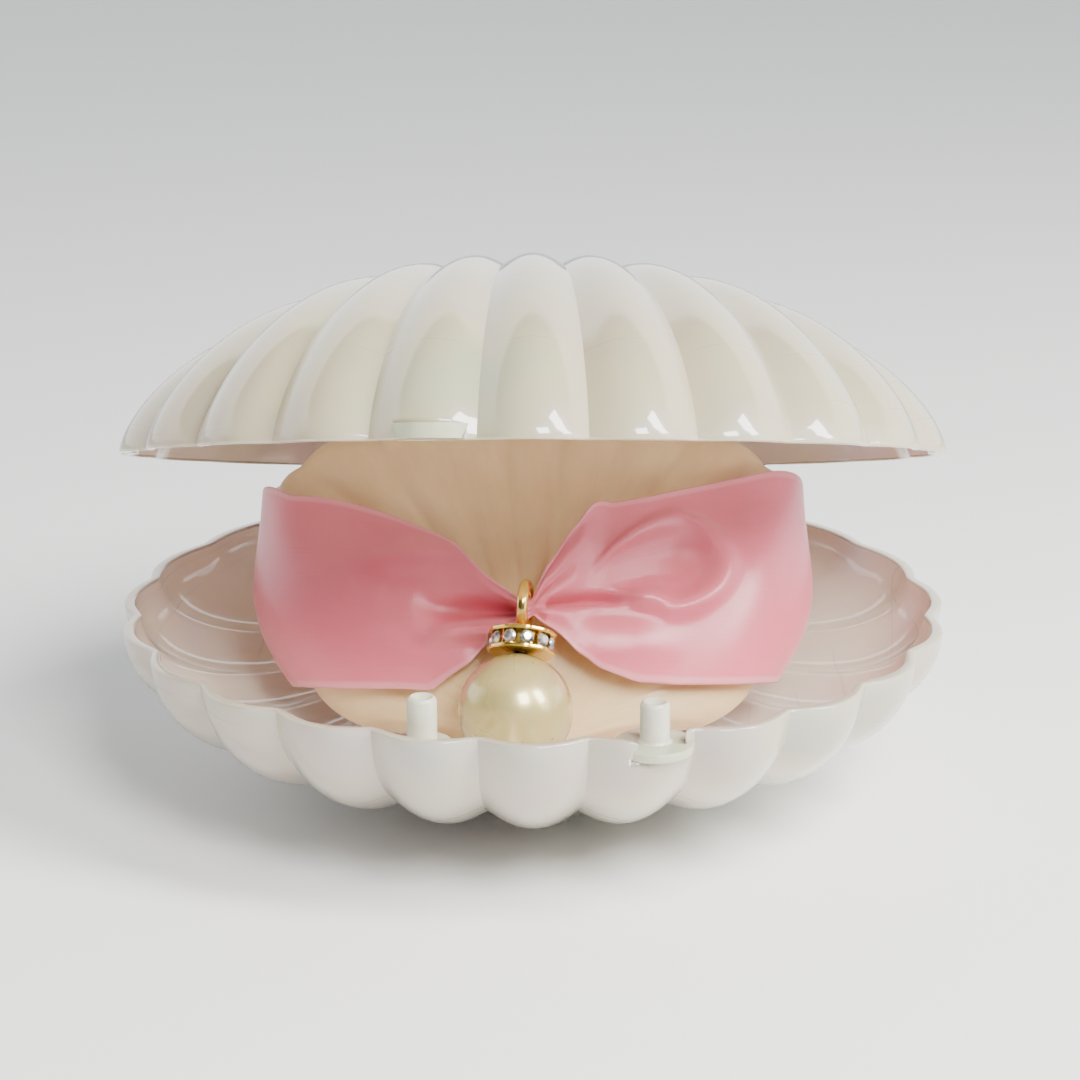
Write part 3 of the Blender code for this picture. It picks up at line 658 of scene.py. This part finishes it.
# The insert: the same kind of wall, in its own leaning frame

INSERT_SHAPE = {"half_w": 28.3 * MM, "near": 30.0 * MM, "far": 9.4 * MM, "power": 2.7,
                "far_power": 4.0, "height": 10.7 * MM}


def insert_half(grow):
    shape = INSERT_SHAPE
    points, uv = fan(shape["half_w"] + grow, shape["near"] + grow, shape["far"] + grow,
                     shape["power"], shape["height"] + grow, profile=0.5, flutes=15, step=10.4,
                     spread=0.0, bulge=0.8 * MM, split=12, rows=40,
                     far_power=shape["far_power"], plain=8.0 * MM)
    return points - np.array((0, grow, 0)), uv


insert = walled("fluted_insert", insert_half(0), insert_half(-INSERT_WALL), [CREAM, CREAM], INSERT,
                0.3 * MM)
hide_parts("insert_shell")
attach(insert, "bowl")

# The ribbon

CLEAR_SIDE, CLEAR_FRONT, RING_LIFT = 2.2 * MM, 2.1 * MM, 3.5 * MM
# How far one millimetre along the insert, and one off it, raise a point seen from the front
RISE_S, RISE_H = 0.859, 0.512
# Edges of the band, in millimetres: distance from the middle, then distance from the beak
TOP_RIGHT = ((0, 13.8), (2, 18.0), (3.7, 22.4), (5.5, 23.2), (8, 23.0), (12, 24.5), (17, 27.1),
             (22.5, 29.8), (30, 34.6))
LOW_RIGHT = ((0, 11.5), (2.5, 10.0), (4.7, 7.7), (9, 6.0), (14.5, 5.0), (21, 5.2), (26, 7.2),
             (30, 10.0))
TOP_LEFT = ((0, 13.5), (1.5, 13.3), (4, 15.0), (9, 20.0), (14.5, 23.3), (20.7, 26.4), (26, 28.8),
            (30, 33.6))
LOW_LEFT = ((0, 11.5), (2.5, 10.6), (5.2, 8.8), (8, 6.6), (15, 4.2), (22, 5.0), (26, 6.6),
            (30, 9.6))


def insert_level(s):
    """How much of 1 is left for the width and height of the insert at a distance from its beak."""
    shape = INSERT_SHAPE
    s = np.minimum(s, shape["near"] + shape["far"] * 0.93)
    near_side = s < shape["near"]
    length = np.where(near_side, shape["near"], shape["far"])
    power = np.where(near_side, shape["power"], shape["far_power"])
    return np.clip(1 - np.abs((s - shape["near"]) / length) ** power, 0, None)


def insert_width(s):
    return INSERT_SHAPE["half_w"] * insert_level(s) ** (1 / INSERT_SHAPE["power"])


def insert_height(s):
    return INSERT_SHAPE["height"] * np.sqrt(insert_level(s))


def smooth_curve(stations, table):
    """A soft curve through a table of points."""
    places, values = np.array(table).T
    fine = np.linspace(0, places[-1], 121)
    level = np.interp(fine, places, values)
    padded = np.concatenate([2 * level[0] - level[1:9][::-1], level, 2 * level[-1]
                             - level[-9:-1][::-1]])
    window = np.hanning(13)
    soft = np.convolve(padded, window / window.sum(), "same")[8:-8]
    return np.interp(stations, fine, soft)


def hill(value, centre, width):
    return np.exp(-((value - centre) / width) ** 2)


def between(value, start, full, last, end):
    """0 up to start, 1 from full to last, and 0 again from end."""
    return fade(value, start, full) * (1 - fade(value, last, end))


def right_folds(n, s, v):
    """A crease from the ring, a teardrop hollow with ridges round it, and soft swellings."""
    crease = -2.6 * hill(s, 12.9, 0.45 + 0.03 * n) * between(n, 0.8, 2.5, 8, 13)
    # The teardrop's point is at the ring, and its round end is between 14.5 and 20 mm out
    middle = 13.2 + 4.4 * fade(n, 2, 15)
    half = np.clip(4.6 * np.clip((n - 1.5) / 14, 0.05, 1.0) ** 0.8, 0.3, None)
    outward = np.sqrt(np.clip((n - 14.5) / 5.2, 0, None) ** 2 + ((s - middle) / half) ** 2)
    hollow = -1.5 * (1 - fade(outward, 0.2, 1.0)) * fade(n, 6, 16)
    ridge = hill(outward, 1.12, 0.26) * fade(n, 5, 10)
    lower_ridge = 0.9 * hill(s, 12.2 + 0.10 * n, 0.9) * between(n, 3, 6, 11, 16)
    slope = (0.8 + 0.26 * np.clip(s - 13.5, 0, None)) * fade(n, 0.8, 4) * (1 - fade(n, 3, 20))
    puff = 0.9 * hill(s, 8.5, 2.6) * between(n, 2, 7, 12, 20)
    outer = 0.5 * hill(n, 24.0, 2.6) * hill(v, 0.1, 0.7)
    return crease + hollow + ridge + lower_ridge + slope + puff + outer


def left_folds(n, s):
    """A deep crease from the ring, with a lip below it and a puff above it."""
    crease = -3.4 * hill(s, 12.0 + 0.03 * n, 0.45 + 0.09 * n) * between(n, 0.8, 2.5, 8, 14)
    lip = 1.9 * hill(s, 10.0 - 0.06 * n, 0.85) * between(n, 1.5, 4, 9, 15)
    puff = 1.5 * hill(s, 16.6 + 0.12 * n, 2.4) * between(n, 2, 6, 12, 22)
    low = 0.5 * hill(s, 7.0, 1.8) * between(n, 4, 9, 13, 20)
    return crease + lip + puff + low


def folds(n, s, v, side):
    """Height of the folds over the plain band, in millimetres, from millimetre places.

    n is the distance from the middle, s the distance from the beak, and v the place across the
    band, from -1 to 1.
    """
    gather = 0.30 * np.cos(v * 11 + 0.4 * side) * between(n, 0.2, 1.0, 1, 7)
    edge = 0.30 * np.abs(v) ** 6 * fade(n, 4, 14)
    return (right_folds(n, s, v) if side > 0 else left_folds(n, s)) + gather + edge


def band_height(s, sine):
    """Height of the plain band in millimetres, at the sine of its turn round the insert."""
    height = (insert_height(s * MM) + CLEAR_FRONT) / MM
    return height * np.sqrt(np.clip(1 - sine ** 2.7, 0, None))


# The band is laid out by stations: 0 at the middle, 1 at the insert's side, 2 at the back
CORNER_END = 1.25
EDGE_LEVEL_FROM = 21.0
BAND_ACROSS = np.linspace(-1, 1, 97)
BAND_STATIONS = np.concatenate([np.linspace(0, 0.2, 40, endpoint=False),
                                np.linspace(0.2, 1.0, 90, endpoint=False),
                                np.linspace(1.0, CORNER_END, 14, endpoint=False),
                                np.linspace(CORNER_END, 2.0, 24)])
CORNER_DEPTH = 2.0 * MM


def band_edges(side, n, sine, behind, rest):
    """Upper and lower edge of one half, in millimetres from the beak, at each station."""
    top, low = (TOP_RIGHT, LOW_RIGHT) if side > 0 else (TOP_LEFT, LOW_LEFT)
    upper_edge, lower_edge = smooth_curve(n, top), smooth_curve(n, low)
    # From here outward the lower edge stays level as seen from the front
    level = smooth_curve(np.array([EDGE_LEVEL_FROM]), low)
    want = RISE_S * level + RISE_H * band_height(level, 0.7)
    for _ in range(12):
        drawn = (want - RISE_H * band_height(lower_edge, sine)) / RISE_S
        lower_edge = np.where(n > EDGE_LEVEL_FROM, drawn, lower_edge)
    drop = -3.4 * rest * (2 - rest)
    upper_edge = upper_edge + (0.5 if side > 0 else 3.0) * behind + drop
    lower_edge = lower_edge + 3.2 * behind + drop
    return upper_edge, lower_edge


def band_half(side):
    """Points of one half in the insert's frame, with the depth of its folds as a fourth value."""
    turn = np.minimum(BAND_STATIONS, 1.0) * pi / 2
    n = 30 * np.sin(turn)
    behind = np.clip((BAND_STATIONS - 1.0) / (CORNER_END - 1.0), 0, 1)
    rest = np.clip((BAND_STATIONS - CORNER_END) / (2.0 - CORNER_END), 0, 1)
    upper_edge, lower_edge = band_edges(side, n, np.sin(turn), behind, rest)
    lift = RING_LIFT * np.clip(1 - np.maximum(n - 1.6, 0) / 6.5, 0, None) ** 2
    middle = (upper_edge + lower_edge) / 2 - 0.6 * lift / MM
    half = (upper_edge - lower_edge) / 2
    s = middle[:, None] + half[:, None] * BAND_ACROSS[None, :]
    v = np.broadcast_to(BAND_ACROSS[None, :], s.shape)
    nn = np.broadcast_to(n[:, None], s.shape)
    lift, sine = lift[:, None], np.sin(turn)[:, None]

    width = insert_width(np.minimum(s, 27.0) * MM) + CLEAR_SIDE
    width = width + 0.9 * MM * hill(s, 19.0, 7.0)
    x = width * sine - CORNER_DEPTH * (1 - np.cos(behind * pi / 2))[:, None]
    x = x * (1 - rest)[:, None]

    height = (insert_height(s * MM) + CLEAR_FRONT) * np.sqrt(1 - sine ** 2.7) + lift
    neck = np.clip(1 - n / 3.0, 0, 1)[:, None]
    centre = insert_height(middle * MM)[:, None] + CLEAR_FRONT + lift
    height = height * (1 - neck) + centre * neck
    height = height - CORNER_DEPTH * np.sin(behind * pi / 2)[:, None] - 0.5 * MM * rest[:, None]

    # Hollows level off before they reach the insert
    bump = folds(nn, s + 0.6 * lift / MM, v, side) * MM * (1 - fade(nn, 26, 30))
    room = CLEAR_FRONT + 0.8 * lift - 0.35 * MM
    bump = np.where(bump < 0, -room * (1 - np.exp(bump / room)), bump)
    points = np.stack([x, s * MM, height], axis=-1)
    normal = np.cross(np.gradient(points, axis=0), np.gradient(points, axis=1))
    normal /= np.maximum(np.linalg.norm(normal, axis=-1, keepdims=True), 1e-12)
    points = points + normal * bump[..., None]
    points[..., 0] *= side
    return np.concatenate([points, bump[..., None]], axis=-1)


def ribbon_grid():
    """The closed band as [along][across], joined at the middle and at the back."""
    right, left = band_half(1), band_half(-1)
    right[0] = (right[0] + left[0]) / 2
    loop = np.concatenate([left[::-1][:-1], right])
    loop[-1] = (loop[-1] + loop[0]) / 2
    return loop[:-1]


def ribbon():
    grid = ribbon_grid()
    loop, depth = grid[..., :3], grid[..., 3]
    count, wide = loop.shape[:2]
    step = np.linalg.norm(np.roll(loop, -1, 0) - loop, axis=-1).mean(1)
    length = step.sum()
    along = np.concatenate([[0], np.cumsum(step)])
    verts = np.concatenate([loop.reshape(-1, 3), loop[0]])
    uvs = np.stack(np.broadcast_arrays(along[:, None] / length, (BAND_ACROSS[None, :] + 1) / 2),
                   axis=-1).reshape(-1, 2)
    faces = [(i * wide + j, (i + 1) * wide + j, (i + 1) * wide + j + 1, i * wide + j + 1)
             for i in range(count) for j in range(wide - 1)]
    made = add_object("satin_ribbon", verts, faces, [SATIN], INSERT, uvs)
    # The fold depth is kept on the mesh; the satin look uses it to paint shade into the hollows.
    fold = made.data.attributes.new("fold", "FLOAT", "POINT")
    fold.data.foreach_set("value", np.concatenate([depth.ravel(), depth[0]]) / MM)
    thick = made.modifiers.new("thickness", "SOLIDIFY")
    thick.thickness = 0.22 * MM
    thick.offset = 0.0
    bpy.context.view_layer.update()
    solid = bpy.data.meshes.new_from_object(made.evaluated_get(
        bpy.context.evaluated_depsgraph_get()))
    made.modifiers.clear()
    made.data = solid
    made.data.shade_smooth()
    return made


band = ribbon()
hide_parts("ribbon_band")
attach(band, "bowl")

# Pegs

PEG_R = 1.45 * MM
PEG_DISC_T = {"left": 1.2 * MM, "right": 0.96 * MM}


def peg(side):
    """A disc and the dimpled pin on it."""
    low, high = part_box(f"peg_{side}")
    centre = (low + high) / 2
    seat = Matrix.Translation((centre.x, centre.y, low.z))
    disc_r, disc_t, top = (high.x - low.x) / 2, PEG_DISC_T[side], high.z - low.z
    disc = rounded([(0, disc_t), (disc_r, disc_t), (disc_r, 0), (0, 0)], 0.3 * MM)
    pin = [(0, top - 0.42 * MM), (0.6 * MM, top - 0.36 * MM), (0.95 * MM, top - 0.04 * MM),
           (1.12 * MM, top), (PEG_R - 0.12 * MM, top - 0.12 * MM), (PEG_R, top - 0.42 * MM),
           (PEG_R, disc_t + 0.35 * MM), (PEG_R + 0.12 * MM, disc_t + 0.12 * MM),
           (PEG_R + 0.3 * MM, disc_t + 0.02 * MM), (0, disc_t + 0.02 * MM)]
    return (lathe(f"peg_disc_{side}", disc, CLEAR, seat, 72),
            lathe(f"peg_pin_{side}", pin, PEG, seat, 48))


for side in ("left", "right"):
    for piece in peg(side):
        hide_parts(f"peg_{side}")
        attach(piece, "bowl")

# The pendant: heights are along the stem, from the ring's centre

RING_R, WIRE_R, STEM_R = 2.2 * MM, 0.6 * MM, 0.45 * MM
PEARL_BORE_R, BEAD_GAP = 0.75 * MM, 0.15 * MM
RONDELLE_H, RONDELLE_BORE_R = 2.4 * MM, 0.8 * MM
FLANGE_T, HUB_R = 0.45 * MM, 2.35 * MM
STONES = 10

rondelle_top = -RING_R - WIRE_R + 0.1 * MM - BEAD_GAP
rondelle_low = rondelle_top - RONDELLE_H
pearl_z = rondelle_low - BEAD_GAP - PEARL_R * cos(asin(PEARL_BORE_R / PEARL_R))
pearl_low = pearl_z - PEARL_R


def ring_and_stem():
    """The ring, the collar of wire under it and the stem, as three tubes."""
    verts, faces = [], []
    major, minor = 72, 24

    def tube(path, radius, closed):
        start = len(verts)
        count = len(path)
        for index, point in enumerate(path):
            after = path[(index + 1) % count] if closed or index + 1 < count else point
            before = path[index - 1] if closed or index > 0 else point
            ahead = (Vector(after) - Vector(before)).normalized()
            side = ahead.cross(Vector((1, 0, 0))).normalized()
            up = ahead.cross(side)
            for step in range(minor):
                angle = tau * step / minor
                offset = side * cos(angle) + up * sin(angle)
                verts.append(tuple(Vector(point) + offset * radius))
        last = count if closed else count - 1
        for i in range(last):
            j = (i + 1) % count
            for k in range(minor):
                m = (k + 1) % minor
                faces.append((start + i * minor + k, start + i * minor + m,
                              start + j * minor + m, start + j * minor + k))
        if not closed:
            faces.append(tuple(range(start, start + minor)))
            faces.append(tuple(range(start + (count - 1) * minor, start + count * minor)))

    tube([(0, RING_R * cos(tau * i / major), RING_R * sin(tau * i / major))
          for i in range(major)], WIRE_R, True)
    tube([(0, 0, -2.3 * MM - 0.3 * MM * i) for i in range(3)], 0.75 * MM, False)
    tube([(0, 0, -2.6 * MM), (0, 0, pearl_low / 2), (0, 0, pearl_low - 0.2 * MM)], STEM_R, False)
    return add_object("ring_and_stem", verts, faces, [GOLD], PENDANT)


def stem_end():
    high_z, low_z, head_r = pearl_low - 0.3 * MM, pearl_low - 0.8 * MM, 1.1 * MM
    head = rounded([(0, high_z), (head_r, high_z), (head_r, low_z), (0, low_z)], 0.2 * MM)
    return lathe("stem_end", head, GOLD, PENDANT, 40)


def scallop(angle, radius):
    """The flanges have one shallow dent between each pair of stones."""
    if radius < 2.0 * MM:
        return 1.0
    return 1.0 - 0.012 * (1 + cos(STONES * angle + pi))


def rondelle_flange(place, high_z):
    low_z, inner_r = high_z - FLANGE_T, 2.5 * MM
    flange = [(RONDELLE_BORE_R, high_z - 0.06 * MM), (inner_r, high_z - 0.04 * MM),
              (RONDELLE_R - 0.16 * MM, high_z), (RONDELLE_R, high_z - 0.14 * MM),
              (RONDELLE_R, low_z + 0.14 * MM), (RONDELLE_R - 0.16 * MM, low_z),
              (inner_r, low_z + 0.02 * MM), (RONDELLE_BORE_R, low_z)]
    return lathe(f"rondelle_flange_{place}", flange, GOLD, PENDANT, 160, True, scallop)


def rondelle_hub():
    high_z, low_z = rondelle_top - 0.3 * MM, rondelle_low + 0.3 * MM
    profile = [(RONDELLE_BORE_R, high_z), (HUB_R, high_z), (HUB_R, low_z),
               (RONDELLE_BORE_R, low_z)]
    return lathe("rondelle_hub", profile, GOLD, PENDANT, 60, True)


for piece in (ring_and_stem(), stem_end()):
    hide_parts("loop_pin")
    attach(piece, "pendant")
for piece in (rondelle_flange("upper", rondelle_top),
              rondelle_flange("lower", rondelle_low + FLANGE_T), rondelle_hub()):
    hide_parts("rondelle_setting")
    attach(piece, "rondelle")


def gem(name, matrix):
    """A round brilliant: an octagonal table, a crown, a girdle and a pointed back."""
    # Radius and height in millimetres, corners, and the turn in corners
    rings = [(0.40, 0.36, 8, 0.5), (0.60, 0.20, 8, 0.0), (0.74, 0.0, 16, 0.0), (0.74, -0.06, 16, 0.0)]
    verts = []
    starts = []
    for radius, height, count, offset in rings:
        starts.append(len(verts))
        for k in range(count):
            angle = tau * (k + offset) / count
            verts.append((radius * cos(angle) * MM, radius * sin(angle) * MM, height * MM))
    tip = len(verts)
    verts.append((0, 0, -0.5 * MM))
    table, star, girdle, belt = starts
    faces = [tuple(range(table, table + 8))]
    for k in range(8):
        after, before = (k + 1) % 8, (k - 1) % 8
        faces.append((table + k, star + k, star + after))
        faces.append((table + before, star + k, table + k))
        a, b, c = 2 * k, (2 * k + 1) % 16, (2 * k + 2) % 16
        faces.append((star + k, girdle + a, girdle + b))
        faces.append((star + k, girdle + b, star + after))
        faces.append((star + after, girdle + b, girdle + c))
    for k in range(16):
        after = (k + 1) % 16
        faces.append((girdle + k, belt + k, belt + after, girdle + after))
        faces.append((belt + k, tip, belt + after))
    return add_object(name, verts, faces, [STONE], matrix, flat=True)


STONE_OUT = 3.06 * MM
middle_z = (rondelle_top + rondelle_low) / 2
for number in range(STONES):
    place = (PENDANT @ Matrix.Rotation(tau * number / STONES, 4, "Z")
             @ Matrix.Translation((STONE_OUT, 0, middle_z)) @ Matrix.Rotation(pi / 2, 4, "Y")
             @ Matrix.Rotation(float(rng.uniform(0, 0.6)), 4, "Z"))
    piece = gem(f"crystal_{number + 1:02d}", place)
    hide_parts(f"rondelle_stone_{number + 1:02d}")
    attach(piece, "rondelle")

bore = asin(PEARL_BORE_R / PEARL_R)
arc = np.linspace(bore, pi - bore, 65)
ball = [(PEARL_R * sin(a), pearl_z + PEARL_R * cos(a)) for a in arc]
pearl = lathe("pearl_ball", ball, PEARL, PENDANT, 96, True)
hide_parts("pearl_bead")
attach(pearl, "pearl")

# Looks of the CAD pieces that keep their own shape

for look, names in ((LOWER_OUT, ("lower_hinge_bracket", "upper_hinge_bracket")),
                    (STEEL, ("hinge_pin", "hinge_pin_cap", "ballast_plate")),
                    (RUBBER, ("base_pad", "inlet_grommet")), (CLEAR, ("air_inlet_barb",)),
                    (CREAM, ("insert_back_plate", "insert_foot")), (GRIT, ("air_stone",))):
    for name in names:
        mesh = frame["nodes"][name].data
        mesh.materials.clear()
        mesh.materials.append(look)

# Floor, lights and camera

bpy.ops.mesh.primitive_plane_add(size=6.0, location=(0, 0, 0))
floor = bpy.context.object
floor.name = "studio_floor"
floor.data.materials.append(floor_look())


def area_light(name, place, aim, size, power, colour=(1, 1, 1), size_y=None):
    light = bpy.data.lights.new(name, "AREA")
    light.energy = power
    light.color = colour
    light.size = size
    if size_y:
        light.shape = "RECTANGLE"
        light.size_y = size_y
    made = bpy.data.objects.new(name, light)
    bpy.context.scene.collection.objects.link(made)
    made.location = place
    made.rotation_euler = (Vector(aim) - Vector(place)).to_track_quat("-Z", "Y").to_euler()
    return made


area_light("key_right", (0.33, -0.18, 0.37), (0, 0, 0.03), 0.12, 5.0, (1, 0.98, 0.94), 0.34)
area_light("key_front", (0.13, -0.34, 0.34), (0, 0, 0.03), 0.15, 3.1, (1, 0.985, 0.96), 0.18)
area_light("fill_right", (0.42, -0.20, 0.12), (0, 0, 0.03), 0.20, 0.5, (1, 0.99, 0.97), 0.26)

# A white backdrop behind, which ends at about 42 degrees, and a dimmer room above and in front
BACKDROP_FULL, BACKDROP_END, BACKDROP_STRENGTH = radians(40), radians(44), 2.3
world = bpy.data.worlds.new("studio")
bpy.context.scene.world = world
world.use_nodes = True
sky, sky_links = world.node_tree.nodes, world.node_tree.links


def sky_node(kind, values, **settings):
    made = sky.new(kind)
    for key, value in settings.items():
        setattr(made, key, value)
    for key, value in values.items():
        if isinstance(value, bpy.types.NodeSocket):
            sky_links.new(value, made.inputs[key])
        else:
            made.inputs[key].default_value = value
    return made.outputs


toward = sky_node("ShaderNodeSeparateXYZ",
                  {"Vector": sky_node("ShaderNodeTexCoord", {})["Generated"]})
behind = sky_node("ShaderNodeMapRange", {"Value": toward["Y"], "From Min": -0.2, "From Max": 0.2})
under = sky_node("ShaderNodeMapRange", {"Value": toward["Z"], "From Min": sin(BACKDROP_FULL),
                                        "From Max": sin(BACKDROP_END), "To Min": 1.0,
                                        "To Max": 0.0})
backdrop = sky_node("ShaderNodeMath", {0: behind[0], 1: under[0]}, operation="MULTIPLY")
room = sky_node("ShaderNodeMapRange", {"Value": toward["X"], "From Min": -1.0, "From Max": 1.0,
                                       "To Min": 0.06, "To Max": 0.19})
strength = sky_node("ShaderNodeMath", {0: backdrop[0], 1: BACKDROP_STRENGTH, 2: room[0]},
                    operation="MULTIPLY_ADD")
sky_links.new(strength[0], sky["Background"].inputs["Strength"])
sky["Background"].inputs["Color"].default_value = (0.95, 0.98, 1.0, 1)

camera_data = bpy.data.cameras.new("camera")
camera = bpy.data.objects.new("camera", camera_data)
bpy.context.scene.collection.objects.link(camera)
target = Vector((0, 0, RIM_Z))
elevation, distance = radians(18.2), 0.320
camera.location = target + distance * Vector((0, -cos(elevation), sin(elevation)))
camera.rotation_euler = (target - camera.location).to_track_quat("-Z", "Y").to_euler()
camera_data.lens = 97.9
camera_data.shift_x = 0.0065
camera_data.shift_y = 0.0532
camera_data.clip_start = 0.01
bpy.context.scene.camera = camera
